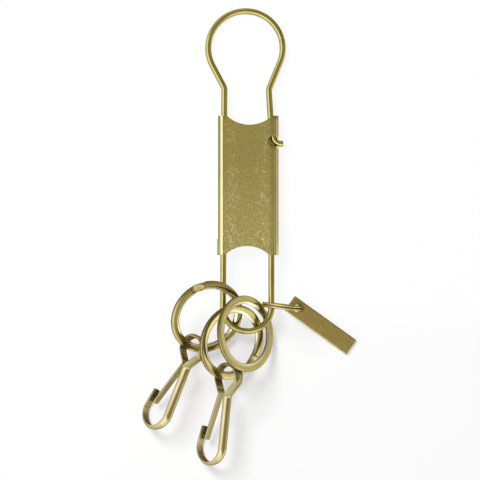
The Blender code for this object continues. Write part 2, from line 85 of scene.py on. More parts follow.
# Sleeve, whose faces lie a little lower than the beads along its edges. The heights where a face
# begins and where the lip has faded are shares of the thickness, from its middle.
SLEEVE_WIDTH = 24.2 * MM
SLEEVE_LENGTH = 55.7 * MM
SLEEVE_WALL = 0.7 * MM
WIRE_TO_FACE_GAP = 0.36 * MM
LEFT_LEG_GAP = 0.12 * MM
RIGHT_LEG_GAP = 1.04 * MM
SLEEVE_EDGE_ROUNDING = 0.16 * MM
FACE_SINK = 0.16 * MM
FACE_STEP = 0.35 * MM
FACE_FROM_RISE = 0.4
LEFT_BEAD_IN = 2.1 * MM
RIGHT_BEAD_IN = 1.35 * MM
THUMB_CUT_CHORD = 18.0 * MM
THUMB_CUT_DEPTH = 3.6 * MM
THUMB_CUT_TOP_X = 0.5 * MM
THUMB_CUT_BOTTOM_X = -0.5 * MM
LATCH_HOLE_ROOM = 1.06 * MM
LATCH_HOLE_IN = 2.15 * MM
LATCH_HOLE_DOWN = 10.35 * MM
LATCH_MOUTH_ROOM = 0.4 * MM
SEAM_LIP_OUT = 0.6 * MM
SEAM_LIP_LENGTH = 6.2 * MM
SEAM_LIP_RAMP = 0.5 * MM
SEAM_LIP_FADED_RISE = 0.6

# What follows from these sizes
SLEEVE_THICKNESS = WIRE_D + 2 * (SLEEVE_WALL + WIRE_TO_FACE_GAP)
SLEEVE_RIGHT = SLEEVE_WIDTH / 2
SLEEVE_TOP = SLEEVE_LENGTH / 2
LEFT_LEG_X = -(SLEEVE_WIDTH / 2 - SLEEVE_WALL - LEFT_LEG_GAP - WIRE_D / 2)
RIGHT_LEG_X = SLEEVE_WIDTH / 2 - SLEEVE_WALL - RIGHT_LEG_GAP - WIRE_D / 2
U_CENTRE = ((LEFT_LEG_X + RIGHT_LEG_X) / 2, U_Y)
U_RADIUS = (RIGHT_LEG_X - LEFT_LEG_X) / 2
LATCH_KNEE = (SLEEVE_RIGHT - LATCH_KNEE_IN, SLEEVE_TOP - LATCH_KNEE_DOWN)
LATCH_CORNER = (SLEEVE_RIGHT - LATCH_CORNER_IN, SLEEVE_TOP - LATCH_CORNER_DOWN)
LATCH_TIP = (SLEEVE_RIGHT + LATCH_TIP_OUT, SLEEVE_TOP - LATCH_TIP_DOWN)
LATCH_HOLE = (SLEEVE_RIGHT - LATCH_HOLE_IN, SLEEVE_TOP - LATCH_HOLE_DOWN)

# Split rings: name, body, middle seen from the foot of the U and rise, both as shares of the outer
# radius, direction of the level diameter, tilt, coil end. The climb starts and stops a share of the
# jog's angle inside it, and the ends are rounded by a share of the thickness.
RING_OUTER_RADIUS = 15.3 * MM
RING_STRIP_WIDTH = 3.35 * MM
RING_STRIP_THICKNESS = 0.7 * MM
RING_COIL_GAP = 0.12 * MM
RING_JOG_ANGLE = math.radians(24)
RING_CLIMB_CLEARANCE = 0.12
RING_END_ROUNDING = 0.25
RINGS = (
    ("split_ring_a", "ring_a", (-1.055, 0.39), 0.128, 47, 31.7, 74),
    ("split_ring_b", "ring_b", (-0.412, -0.272), 0.034, 71, 37.8, -100),
    ("split_ring_c", "ring_c", (-0.051, -0.052), 0.0993, 96, 44.8, -44),
)

# Section of a ring's strip, as shares of half its width or thickness: what every edge loses, what the
# inner bevel and the outer corner lose more, the bevel's curve, in and down, and a point between them
LEAST_CUT = 0.06
BEVEL_WIDTH = 0.56
CORNER_WIDTH = 0.20
LEAST_DROP = 0.15
CUT_DROP = 1.15
BEVEL_CURVE = ((0.0, 1.0), (0.12, 0.78), (0.85, 0.10), (1.1, 0.0))
POINT_BETWEEN = 0.3

# Tag's ring, two round wires side by side
TAG_RING_OUTER_RADIUS = 8.4 * MM
TAG_RING_STRIP_WIDTH = 1.1 * MM
TAG_RING_STRIP_THICKNESS = 1.04 * MM
TAG_RING_COIL_GAP = 0.04 * MM
TAG_RING_FROM_LEG = 4.58 * MM
TAG_RING_FROM_U = 0.29 * MM
TAG_RING_REST_GAP = 0.1 * MM
TAG_RING_TURN = -6.5
TAG_RING_COIL_END = -170

# Tag
TAG_LENGTH = 30.6 * MM
TAG_WIDTH = 7.1 * MM
TAG_THICKNESS = 1.2 * MM
TAG_BEVEL = 0.45 * MM
TAG_BEVEL_PROFILE = 0.5
TAG_HOLE_D = 2.9 * MM
TAG_HOLE_ASIDE = -0.1 * MM
TAG_HOLE_INSET = 3.5 * MM
TAG_HOLE_ROUNDING = 0.12 * MM
TAG_TURN = -35.8
TAG_TILT = 5.2
TAG_HOLE_RING_ANGLE = -44.0

# Spring clips, drawn with X towards the main arm and Y towards the eye: name, ring, the eye's middle
# as an angle round the ring, a reach beyond the strip's middle and a height over its plane, both as
# shares of the strip's width, turn in plan, roll, pitch, and the bend where the gate begins. The flat
# inner face has two more points across it, as shares of its width.
CLIP_STRIP_THICKNESS = 1.35 * MM
CLIP_ARM_WIDTH = 3.5 * MM
CLIP_EYE_WIDTH = 4.6 * MM
CLIP_FLANK_WIDTH = 3.8 * MM
CLIP_GATE_WIDTH = 2.9 * MM
CLIP_NOSE_WIDTH = 3.2 * MM
EYE_LEFT = -2.2 * MM
EYE_RIGHT = 10.1 * MM
EYE_TOP = -0.65 * MM
EYE_SHOULDER = -7.2 * MM
EYE_CROWN_RADIUS = 4.8 * MM
EYE_SHOULDER_RADIUS = 4.0 * MM
EYE_MIDDLE = -6.6 * MM
ARM_NECK = (4.8 * MM, -13.4 * MM)
ARM_NECK_RADIUS = 2.4 * MM
GATE_NECK_RADIUS = 1.2 * MM
HOOK_CENTRE = (-1.32 * MM, -34.5 * MM)
HOOK_RADIUS = 6.75 * MM
NOSE_TIP = (-6.56 * MM, -26.6 * MM)
GATE_TIP = (-4.6 * MM, -31.7 * MM)
GATE_SEAM_BACK = 1.0 * MM
ARM_TWIST = 32.0
CLIP_EDGE_RISE = 0.06 * MM
CLIP_EDGE_INSET = 0.07 * MM
CLIP_FACE_POINTS = (0.26, 0.14)
CLIPS = (
    ("clip_a", "split_ring_a", -163.62, 0.269, 0.895, -22.4, 45.0, 1.4, (2.5 * MM, -12.0 * MM)),
    ("clip_b", "split_ring_b", -169.65, 0.319, 0.743, -6.6, 45.0, 1.2, (0.6 * MM, -12.4 * MM)),
)

# Patina of all the brass: the colours of its rim, of its tarnish and painted shade, and of its bare metal
# where worn and where a highlight is painted, the scale, detail and roughness of its noises, and what
# they change
EDGE_TINT = (0.55, 0.38, 0.16)
SHADE_AND_TARNISH = (0.045, 0.028, 0.012)
WORN_AND_HIGHLIGHT = (0.90, 0.80, 0.52)
CLOUDS = (140.0, 4.0, 0.55)
MOTTLE = (1000.0, 3.0, 0.6)
SAND = (2400.0, 3.0, 0.65)
CLOUDS_IN_PATINA = 0.6
PATINA_FROM_TO = (0.42, 0.60)
PATINA_FULL = 1.33
SPOTS_FROM_TO = (0.50, 0.62)
SHADE_AND_TARNISH_FROM_TO = (0.35, 0.65)
SHADE_AND_TARNISH_SHARES = (0.85, 1.1)
SHADE_AND_TARNISH_ROUGHER_BY = 0.2
UNEVEN_FROM_TO = (0.38, 0.64)
UNEVEN_BY = 0.2
SAND_IN_GRAIN = 0.6
GRAIN_DEPTH = 0.05 * MM

# Patina of the sleeve by place on its face: it is darker towards the top, its flecks lie in two bands,
# and its beads have lines of painted shade and painted highlight. A line has a middle, a half flat, a
# foot and a height.
FACE_DARKER_FROM_TO = (-24.0 * MM, 12.0 * MM)
FACE_DARKER_BY = 0.7
FLECKS_FROM_TO = (12.0 * MM, -24.0 * MM)
FLECKS_MORE = (0.5, 1.35)
BAND_X = 6.3 * MM
BAND_WANDER = 6.0 * MM
BAND_FROM_TO = (0.6 * MM, 3.2 * MM)
FLECKS_OUTSIDE_BANDS = 0.45
PAINTED_HIGHLIGHT_LINES = (
    (-10.75 * MM, 0.12 * MM, 0.55 * MM, 0.75),
    (11.55 * MM, 0.45 * MM, 0.6 * MM, 0.45),
)
PAINTED_SHADE_LINES = (
    (-11.65 * MM, 0.35 * MM, 0.6 * MM, 0.42),
    (9.65 * MM, 0.7 * MM, 1.3 * MM, 0.30),
    (10.75 * MM, 0.08 * MM, 0.25 * MM, 0.5),
)

# Painted shade by the way a surface faces: the side turned away from the light, how far a surface leans
# to it where the painted shade begins and where it is full, and how dark that is
PAINTED_SHADE_SIDE = Vector((0.70, 0.71, 0.0))
PAINTED_SHADE_LEANS = (0.42, 0.75)
RING_PAINTED_SHADE_SIDE = Vector((-0.75, 0.66, 0.0))
RING_PAINTED_SHADE_LEANS = (-0.18, 0.35)
PAINTED_SHADE_DEPTH = 0.74

# Wear with a painted highlight, and painted shade, of a split ring's strip, from the inner bevel to the
# outer corner, then painted shade at the jog and at the ends
STRIP_WEAR_AND_HIGHLIGHT = (0.6, 0.9, 0.9, 0.0, 0.0, 0.0, 0.0, 0.0, 0.0, 0.0)
STRIP_PAINTED_SHADE = (0.1, 0.0, 0.0, 0.0, 0.05, 0.15, 0.30, 0.40, 0.45, 0.45)
JOG_PAINTED_SHADE = 0.35
JOG_SHADE_SPREAD = 6
END_PAINTED_SHADE = 0.95
END_SHADE_REACH = 0.5 * MM

# Wear and painted shade of the tag's ring, which is painted dark where its coils meet, and painted shade
# in the tag's hole
CREASE_FROM_TO = (0.70, 0.95)
CREASE_PAINTED_SHADE = 0.9
TAG_RING_WEAR = 0.1
TAG_HOLE_PAINTED_SHADE = 1.0

# Darkening of a clip on its flat inner face and on its dome: painted shade in the nose and in the eye
# where the ring passes, a darker inner face elsewhere, and the share of it at the face's points
INSIDE_DARKENING = (0.32, 0.0)
NOSE_PAINTED_SHADE = (1.0, 0.0)
EYE_PAINTED_SHADE = (0.7, 0.3)
CLIP_FACE_SHARES = (0.0, 0.1, 0.6, 1.0, 1.0, 1.0)

# Facets, and the angles under which neighbours are shaded smooth or from which edges are rounded
SMOOTH_BELOW = 38
FACE_SMOOTH_BELOW = 14
TAG_SMOOTH_BELOW = 60
WIRE_SIDES = 32
TIP_STEPS = 5
FINE_STEP = math.radians(3)
CLIP_STEP = math.radians(5)
CLIP_DOME_STEPS = 10
CLIP_DOME_STEP = 8.2
NOSE_STATIONS = (0.0, 0.72, 0.85)
NOSE_DARK_STATIONS = 2
TAG_RING_SIDES = 24
JOG_STEPS = 12
CORNER_STEPS = 5
END_STATIONS = (0.0, 0.3, 1.0)
SLEEVE_EDGE_STEPS = 24
LEAST_SPACING = 0.02 * MM
FACE_STEP_COLUMNS = 4
FACE_COLUMNS = 12
FACE_ROWS = 26
THUMB_CUT_SIDES = 360
HOLE_STEP = math.radians(5)
ROUNDING_SEGMENTS = 3
SLEEVE_SHARP_FROM = 40
TAG_SHARP_FROM = 60
TAG_BEVEL_SEGMENTS = 5
NORMAL_WEIGHT = 100

# Floor: it glows less near the object's foot, where the shadow is deepest
FLOOR_SIZE = 8.0
FLOOR_UNDER = 0.02 * MM
FLOOR_WHITE = (0.95, 0.95, 0.95)
FLOOR_ROUGHNESS = 0.9
GLOW_FROM_TO = (-42 * MM, -26 * MM)
FLOOR_GLOW = (0.45, 0.90)

# World: walls, a pale horizon, a big window and a low panel, and its warmth where it is dim
WALLS_FROM_TO = (0.3, -0.4)
WALLS_LIGHT = (0.42, 0.52)
HORIZON_LIGHT = (0.35, 0.45)
HORIZON_RISE = (0.55, 0.15)
WINDOW_DIRECTION = (-0.67, -0.743, 0.0)
WINDOW_EDGE = (0.08, 0.20)
WINDOW_LIGHT = 1.5
WINDOW_FOOT_RISE = (0.25, 0.80)
WINDOW_FOOT_SHARE = 0.2
PANEL_DIRECTION = (0.67, -0.74, 0.0)
PANEL_EDGE = (0.70, 0.88)
PANEL_LIGHT = 1.1
PANEL_RISE = (0.34, 0.20)
WORLD_ON_MATT = 0.30
WHITE_FROM_TO = (0.5, 1.0)
DIM_COLOUR = (1.0, 0.88, 0.70)

# Key lamp, which throws the soft shadows and isn't mirrored
KEY_AT = (-0.62, 0.62, 1.0)
KEY_SIZE = 0.65
KEY_POWER = 18.5

# Camera: the photograph's middle and width over the table
VIEW_X = -3.32 * MM + ROOT_X
VIEW_Y = -21.80 * MM + ROOT_Y
VIEW_WIDTH = 192.5 * MM
VIEW_DISTANCE = 2.5
VIEW_END = 50
SENSOR_WIDTH = 36


# Materials


class Nodes:
    """Short words for building a material's nodes."""

    # Places of the two colours among a mix node's inputs, and of the mixed colour among its outputs
    COLOUR_SOCKETS = (6, 7)
    COLOUR_RESULT = 2

    def __init__(self, tree):
        self.tree = tree

    def add(self, kind, **settings):
        node = self.tree.nodes.new(kind)
        for key, value in settings.items():
            setattr(node, key, value)
        return node

    def link(self, source, target):
        self.tree.links.new(source, target)

    def noise(self, coords, look, finer=1.0, stretch=(1, 1, 1)):
        scale, detail, rough = look
        placed = self.add("ShaderNodeMapping")
        placed.inputs["Scale"].default_value = stretch
        self.link(coords, placed.inputs["Vector"])
        node = self.add("ShaderNodeTexNoise")
        node.inputs["Scale"].default_value = scale * finer
        node.inputs["Detail"].default_value = detail
        node.inputs["Roughness"].default_value = rough
        self.link(placed.outputs["Vector"], node.inputs["Vector"])
        return node.outputs["Fac"]

    def ramp(self, value, low, high, start=0.0, stop=1.0):
        node = self.add("ShaderNodeMapRange", clamp=True)
        node.inputs["From Min"].default_value = low
        node.inputs["From Max"].default_value = high
        node.inputs["To Min"].default_value = start
        node.inputs["To Max"].default_value = stop
        self.link(value, node.inputs["Value"])
        return node.outputs["Result"]

    def maths(self, operation, first, second):
        node = self.add("ShaderNodeMath", operation=operation)
        for socket, value in zip(node.inputs, (first, second)):
            if isinstance(value, (int, float)):
                socket.default_value = value
            else:
                self.link(value, socket)
        return node.outputs["Value"]

    def blend(self, first, second, share_of_first=0.5):
        weighed = self.maths("MULTIPLY", first, share_of_first)
        return self.maths("ADD", weighed, self.maths("MULTIPLY", second, 1 - share_of_first))

    def line(self, value, middle, flat, foot, height):
        """Rises to the height within the flat of the middle, and fades to nothing at the foot."""
        offset = self.maths("ABSOLUTE", self.maths("SUBTRACT", value, middle), 0.0)
        return self.ramp(offset, flat, foot, height, 0.0)

    def facing(self, direction, towards):
        node = self.add("ShaderNodeVectorMath", operation="DOT_PRODUCT")
        self.link(direction, node.inputs[0])
        node.inputs[1].default_value = towards
        return node.outputs["Value"]

    def mix(self, share, first, second):
        node = self.add("ShaderNodeMix", data_type="RGBA")
        self.link(share, node.inputs["Factor"])
        for place, value in zip(self.COLOUR_SOCKETS, (first, second)):
            if isinstance(value, tuple):
                node.inputs[place].default_value = (*value, 1.0)
            else:
                self.link(value, node.inputs[place])
        return node.outputs[self.COLOUR_RESULT]


def sleeve_patina(n, coords, clouds, patina, share, wear_and_highlight, shade_and_tarnish_mask):
    """The brass's patina, share of flecks, wear with painted highlights, and tarnish with painted shade,
    changed by place on the sleeve.
    """
    parts = n.add("ShaderNodeSeparateXYZ")
    n.link(coords, parts.inputs["Vector"])
    across, along = parts.outputs["X"], parts.outputs["Y"]
    darker = n.ramp(along, *FACE_DARKER_FROM_TO, -FACE_DARKER_BY, FACE_DARKER_BY)
    patina = n.maths("ADD", patina, darker)
    aside = n.maths("ABSOLUTE", across, 0.0)
    wander = n.maths("MULTIPLY", n.maths("SUBTRACT", clouds, 0.5), BAND_WANDER)
    offset = n.maths("ABSOLUTE", n.maths("SUBTRACT", n.maths("ADD", aside, wander), BAND_X), 0.0)
    share = n.maths("MULTIPLY", share, n.ramp(offset, *BAND_FROM_TO, 1.0, FLECKS_OUTSIDE_BANDS))
    share = n.maths("MULTIPLY", share, n.ramp(along, *FLECKS_FROM_TO, *FLECKS_MORE))
    # Painted highlights and painted shade in lines along the beads
    for line in PAINTED_HIGHLIGHT_LINES:
        wear_and_highlight = n.maths("ADD", wear_and_highlight, n.line(across, *line))
    for line in PAINTED_SHADE_LINES:
        shade_and_tarnish_mask = n.maths("ADD", shade_and_tarnish_mask, n.line(across, *line))
    return patina, share, wear_and_highlight, shade_and_tarnish_mask


def brass(
    name, base, dark, pale, roughness, grain, flecks, finer=1.0, brush=(1, 1, 1), banded=False,
):
    """Worn brass: clouds of patina, pale flecks, fine grain, bare metal for wear and painted highlights,
    and dark for tarnish and painted shade.
    """
    material = bpy.data.materials.new(name)
    material.use_nodes = True
    tree = material.node_tree
    shader = tree.nodes["Principled BSDF"]
    shader.inputs["Metallic"].default_value = 1.0
    shader.inputs["Specular Tint"].default_value = (*EDGE_TINT, 1.0)
    n = Nodes(tree)
    coords = n.add("ShaderNodeTexCoord").outputs["Object"]
    clouds = n.noise(coords, CLOUDS)
    mottle = n.noise(coords, MOTTLE, finer, brush)
    sand = n.noise(coords, SAND, finer, brush)
    patina = n.ramp(n.blend(clouds, mottle, CLOUDS_IN_PATINA), *PATINA_FROM_TO)
    share = n.maths("MULTIPLY", n.ramp(n.blend(mottle, sand), *SPOTS_FROM_TO), flecks)
    wear_and_highlight = n.add("ShaderNodeAttribute", attribute_name="wear_and_highlight").outputs["Fac"]
    shade_and_tarnish_mask = n.add("ShaderNodeAttribute", attribute_name="tarnish_and_shade").outputs["Fac"]
    if banded:
        patina, share, wear_and_highlight, shade_and_tarnish_mask = sleeve_patina(n, coords, clouds, patina, share, wear_and_highlight, shade_and_tarnish_mask)
    colour = n.mix(n.ramp(patina, 0.0, PATINA_FULL), base, dark)
    colour = n.mix(share, colour, pale)
    # Pale bare metal for wear and for painted highlights, then dark for tarnish and for painted shade
    colour = n.mix(n.ramp(wear_and_highlight, 0.0, 1.0), colour, WORN_AND_HIGHLIGHT)
    shade_and_tarnish_mask = n.maths("MULTIPLY", shade_and_tarnish_mask, n.ramp(mottle, *SHADE_AND_TARNISH_FROM_TO, *SHADE_AND_TARNISH_SHARES))
    colour = n.mix(n.ramp(shade_and_tarnish_mask, 0.0, 1.0), colour, SHADE_AND_TARNISH)
    n.link(colour, shader.inputs["Base Color"])
    least, most = roughness * (1 - UNEVEN_BY), roughness * (1 + UNEVEN_BY)
    uneven = n.ramp(n.blend(clouds, sand), *UNEVEN_FROM_TO, least, most)
    rougher = n.maths("MULTIPLY", shade_and_tarnish_mask, SHADE_AND_TARNISH_ROUGHER_BY)
    n.link(n.maths("ADD", uneven, rougher), shader.inputs["Roughness"])
    bump = n.add("ShaderNodeBump")
    bump.inputs["Strength"].default_value = grain
    bump.inputs["Distance"].default_value = GRAIN_DEPTH
    n.link(n.maths("ADD", mottle, n.maths("MULTIPLY", sand, SAND_IN_GRAIN)), bump.inputs["Height"])
    n.link(bump.outputs["Normal"], shader.inputs["Normal"])
    return material


WIRE_BRASS = brass(
    "wire_brass", base=(0.46, 0.42, 0.145), dark=(0.37, 0.32, 0.09), pale=(0.52, 0.48, 0.19),
    roughness=0.12, grain=0.03, flecks=0.25,
)
SLEEVE_BRASS = brass(
    "sleeve_brass", base=(0.57, 0.52, 0.18), dark=(0.46, 0.40, 0.12), pale=(0.98, 0.95, 0.62),
    roughness=0.27, grain=0.6, flecks=0.85, finer=0.8, brush=(1.5, 0.8, 1), banded=True,
)
RING_BRASS = brass(
    "ring_brass", base=(0.56, 0.49, 0.195), dark=(0.46, 0.385, 0.13), pale=(0.62, 0.56, 0.27),
    roughness=0.17, grain=0.04, flecks=0.25,
)
CLIP_BRASS = brass(
    "clip_brass", base=(0.49, 0.43, 0.225), dark=(0.42, 0.355, 0.165), pale=(0.56, 0.51, 0.31),
    roughness=0.20, grain=0.05, flecks=0.3,
)
TAG_BRASS = brass(
    "tag_brass", base=(0.46, 0.365, 0.125), dark=(0.38, 0.295, 0.09), pale=(0.65, 0.55, 0.25),
    roughness=0.26, grain=0.2, flecks=0.4,
)


# Shapes


def arc(centre, radius, start, stop, step=FINE_STEP):
    count = max(1, round(abs(stop - start) / step))
    angles = np.linspace(start, stop, count + 1)
    return [Vector((centre[0] + radius * math.cos(a), centre[1] + radius * math.sin(a))) for a in angles]


def tangent_angle(corner, centre, radius, side):
    """The angle on a circle where a straight line from the corner touches it."""
    away = Vector(corner) - Vector(centre)
    return math.atan2(away.y, away.x) + side * math.acos(radius / away.length)


def fillet(before, corner, after, radius, step=FINE_STEP):
    """The arc that rounds a corner between two straight lines."""
    before, corner, after = Vector(before), Vector(corner), Vector(after)
    arriving = (corner - before).normalized()
    leaving = (after - corner).normalized()
    turn = arriving.angle_signed(leaving)
    side = -1 if turn > 0 else 1
    start = corner - arriving * radius * math.tan(abs(turn) / 2)
    centre = start + side * radius * Vector((-arriving.y, arriving.x))
    first = math.atan2(start.y - centre.y, start.x - centre.x)
    return arc(centre, radius, first, first + side * abs(turn), step)


def oval(half_width, half_height, sides):
    angles = [2 * math.pi * k / sides for k in range(sides)]
    return [(half_width * math.cos(a), half_height * math.sin(a)) for a in angles]


def sweep(stations, sections):
    """A body through the same number of points at each station, closed at both ends."""
    maker = bmesh.new()
    loops = []
    for place, section in zip(stations, sections):
        loops.append([maker.verts.new(place @ Vector((across, up, 0.0))) for across, up in section])
    for near, far in zip(loops, loops[1:]):
        for i in range(len(near)):
            j = (i + 1) % len(near)
            maker.faces.new((near[i], near[j], far[j], far[i]))
    maker.faces.new(loops[0][::-1])
    maker.faces.new(loops[-1])
    return maker


def flat_stations(path):
    """Places along a flat path, their X to its right, their Y up and their Z along it."""
    stations = []
    for i, point in enumerate(path):
        behind = path[max(i - 1, 0)]
        ahead = path[min(i + 1, len(path) - 1)]
        along = (ahead - behind).normalized()
        right = Vector((along.y, -along.x))
        axes = Matrix(((right.x, 0, along.x), (right.y, 0, along.y), (0, 1, 0))).to_4x4()
        stations.append(Matrix.Translation((point.x, point.y, 0)) @ axes)
    return stations


def piece(name, maker, material, place, smooth_below=SMOOTH_BELOW, tarnish_and_shade=None, wear_and_highlight=None,
          shaded_side=PAINTED_SHADE_SIDE, shade_leans=PAINTED_SHADE_LEANS):
    """One piece, with wear, painted highlights, tarnish and painted shade by vertex, and painted shade on
    its side away from the light.
    """
    mesh = bpy.data.meshes.new(name)
    bmesh.ops.recalc_face_normals(maker, faces=maker.faces)
    maker.to_mesh(mesh)
    maker.free()
    mesh.materials.append(material)
    mesh.shade_smooth()
    mesh.set_sharp_from_angle(angle=math.radians(smooth_below))
    # Painted shade: darker where a vertex's normal leans to the side turned away from the light
    mesh_turn = place.to_3x3()
    facing = np.array([(mesh_turn @ v.normal).dot(shaded_side) for v in mesh.vertices])
    dark = PAINTED_SHADE_DEPTH * np.interp(facing, shade_leans, (0.0, 1.0))
    if tarnish_and_shade is not None:
        dark = np.maximum(dark, tarnish_and_shade)
    mesh.attributes.new("tarnish_and_shade", "FLOAT", "POINT").data.foreach_set("value", dark.tolist())
    if wear_and_highlight is not None:
        mesh.attributes.new("wear_and_highlight", "FLOAT", "POINT").data.foreach_set("value", wear_and_highlight)
    made = bpy.data.objects.new(name, mesh)
    bpy.context.scene.collection.objects.link(made)
    made.matrix_world = place
    return made


def turned(angle, axis):
    return Matrix.Rotation(math.radians(angle), 4, axis)


def eased(share):
    """The same share with a smooth start and stop."""
    return share * share * (3 - 2 * share)


ROOT = Matrix.Translation((ROOT_X, ROOT_Y, ROOT_Z))
BOW_TOP = BOW_CENTRE[1] + BOW_RADIUS
LOOP = (
    ROOT
    @ Matrix.Translation((0, BOW_TOP, WIRE_D / 2 + BOW_REST_GAP))
    @ Matrix.Rotation(LOOP_TILT, 4, "X")
    @ Matrix.Translation((0, -BOW_TOP, 0))
)


# Loop wire and latch


def wire(path, round_tip=0.0):
    """A round wire along a flat path, whose last end may be rounded."""
    stations = flat_stations(path)
    radii = [SEEN_WIRE_D / 2] * len(path)
    if round_tip:
        along = (path[-1] - path[-2]).normalized()
        last = stations[-1]
        ends, sizes = [], []
        for k in range(1, TIP_STEPS + 1):
            angle = k / TIP_STEPS * math.pi / 2
            back = round_tip * (1 - math.sin(angle))
            ends.append(Matrix.Translation(-along.to_3d() * back) @ last)
            sizes.append(SEEN_WIRE_D / 2 - round_tip * (1 - math.cos(angle)))
        first = Matrix.Translation(-along.to_3d() * round_tip) @ last
        stations = stations[:-1] + [first] + ends
        radii = radii[:-1] + [SEEN_WIRE_D / 2] + sizes
    return sweep(stations, [oval(radius, radius, WIRE_SIDES) for radius in radii])


def make_loop():
    left_touch = 2 * math.pi + tangent_angle(NECK_LEFT, BOW_CENTRE, BOW_RADIUS, -1)
    bow = arc(BOW_CENTRE, BOW_RADIUS, FLEX_HALF_ANGLE, left_touch)
    u_turn = arc(U_CENTRE, U_RADIUS, math.pi, 2 * math.pi)
    break_y = SLEEVE_TOP - BREAK_BELOW_TOP
    neck = fillet(bow[-1], NECK_LEFT, u_turn[0], NECK_BEND_RADIUS)
    path = bow + neck + u_turn + [Vector((u_turn[-1].x, break_y))]
    loop = piece("loop_wire_look", wire(path), WIRE_BRASS, LOOP)
    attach(loop, "loop")
    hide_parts("loop_wire")

    right_touch = tangent_angle(NECK_RIGHT, BOW_CENTRE, BOW_RADIUS, 1)
    bow = arc(BOW_CENTRE, BOW_RADIUS, FLEX_HALF_ANGLE, right_touch)
    neck = fillet(bow[-1], NECK_RIGHT, LATCH_KNEE, NECK_BEND_RADIUS)
    knee = fillet(NECK_RIGHT, LATCH_KNEE, LATCH_CORNER, LATCH_KNEE_RADIUS)
    bend = fillet(LATCH_KNEE, LATCH_CORNER, LATCH_TIP, LATCH_BEND_RADIUS)
    path = bow + neck + knee + bend + [Vector(LATCH_TIP)]
    latch = piece("latch_look", wire(path, LATCH_TIP_ROUNDING), WIRE_BRASS, LOOP)
    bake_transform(latch)
    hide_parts("latch_leg")


# Sleeve


def obround(width, height, steps):
    """A flat section with round ends, whose long sides have points where the face is pressed in."""
    radius = height / 2
    reach = width / 2 - radius
    right = arc((reach, 0), radius, -math.pi / 2, math.pi / 2, math.pi / steps)
    left = arc((-reach, 0), radius, math.pi / 2, 3 * math.pi / 2, math.pi / steps)
    shares = np.linspace(0, 1, FACE_STEP_COLUMNS + 1)
    from_left = [-SLEEVE_WIDTH / 2 + LEFT_BEAD_IN + FACE_STEP * share for share in shares]
    from_right = [SLEEVE_WIDTH / 2 - RIGHT_BEAD_IN - FACE_STEP * share for share in shares]
    across = list(np.linspace(from_left[-1], from_right[-1], FACE_COLUMNS + 1)[1:-1])
    stops = [x for x in sorted(from_left + across + from_right) if abs(x) < reach - LEAST_SPACING]
    top = [Vector((x, radius)) for x in reversed(stops)]
    foot = [Vector((x, -radius)) for x in stops]
    return right + top + left + foot


def sunk(x, z):
    """How far a point of the outer outline sinks where the face is pressed in between the beads."""
    if abs(z) < FACE_FROM_RISE * SLEEVE_THICKNESS:
        return 0.0
    from_left = (x + SLEEVE_WIDTH / 2 - LEFT_BEAD_IN) / FACE_STEP
    from_right = (SLEEVE_WIDTH / 2 - RIGHT_BEAD_IN - x) / FACE_STEP
    share = min(1.0, max(0.0, min(from_left, from_right)))
    return math.copysign(FACE_SINK * eased(share), z)


def sleeve_body():
    """An open flat tube along Y, its lower left edge pushed out into a lip, its faces pressed in."""
    maker = bmesh.new()
    outer = obround(SLEEVE_WIDTH, SLEEVE_THICKNESS, SLEEVE_EDGE_STEPS)
    inner = obround(SLEEVE_WIDTH - 2 * SLEEVE_WALL, SLEEVE_THICKNESS - 2 * SLEEVE_WALL, SLEEVE_EDGE_STEPS)
    foot = -SLEEVE_LENGTH / 2
    lip_top = foot + SEAM_LIP_LENGTH
    levels = [(foot, SEAM_LIP_OUT), (lip_top, SEAM_LIP_OUT)]
    levels += [(level, 0) for level in np.linspace(lip_top + SEAM_LIP_RAMP, -foot, FACE_ROWS)]
    walls = []
    for level, lip in levels:
        for outline in (outer, inner):
            loop = []
            for x, z in outline:
                share = min(1, max(0, -(x + SLEEVE_WIDTH / 2 - SLEEVE_THICKNESS) / SLEEVE_THICKNESS))
                low = min(1, max(0, SEAM_LIP_FADED_RISE - z / SLEEVE_THICKNESS))
                drop = sunk(x, z) if outline is outer else 0.0
                loop.append(maker.verts.new((x - lip * share * low, level, z - drop)))
            walls.append(loop)
    count = len(outer)
    pairs = [(2 * k + side, 2 * k + 2 + side) for k in range(len(levels) - 1) for side in (0, 1)]
    pairs += [(0, 1), (2 * len(levels) - 2, 2 * len(levels) - 1)]
    for a, b in pairs:
        for i in range(count):
            j = (i + 1) % count
            maker.faces.new((walls[a][i], walls[a][j], walls[b][j], walls[b][i]))
    return maker


def upright_prism(outline, low, high):
    maker = bmesh.new()
    foot = maker.faces.new([maker.verts.new((x, y, low)) for x, y in outline])
    raised = bmesh.ops.extrude_face_region(maker, geom=[foot])
    moved = [v for v in raised["geom"] if isinstance(v, bmesh.types.BMVert)]
    bmesh.ops.translate(maker, verts=moved, vec=(0, 0, high - low))
    return maker


def cut_and_round(made, tools, rounding, sharp_from):
    """Cuts the tools out of a piece, rounds its sharp edges, and keeps the result as its mesh."""
    cutters = []
    for k, maker in enumerate(tools):
        mesh = bpy.data.meshes.new(f"{made.name}_tool_{k}")
        bmesh.ops.recalc_face_normals(maker, faces=maker.faces)
        maker.to_mesh(mesh)
        maker.free()
        tool = bpy.data.objects.new(mesh.name, mesh)
        bpy.context.scene.collection.objects.link(tool)
        tool.matrix_world = made.matrix_world
        cutters.append(tool)
        cut = made.modifiers.new(tool.name, "BOOLEAN")
        cut.operation = "DIFFERENCE"
        cut.solver = "EXACT"
        cut.object = tool
    bevel = made.modifiers.new("rounding", "BEVEL")
    bevel.width = rounding
    bevel.segments = ROUNDING_SEGMENTS
    bevel.limit_method = "ANGLE"
    bevel.angle_limit = math.radians(sharp_from)
    bevel.use_clamp_overlap = True
    weighted = made.modifiers.new("even shading", "WEIGHTED_NORMAL")
    weighted.weight = NORMAL_WEIGHT
    weighted.keep_sharp = True
    bpy.context.view_layer.update()
    graph = bpy.context.evaluated_depsgraph_get()
    final = bpy.data.meshes.new_from_object(made.evaluated_get(graph))
    made.modifiers.clear()
    made.data = final
    for tool in cutters:
        bpy.data.objects.remove(tool, do_unlink=True)


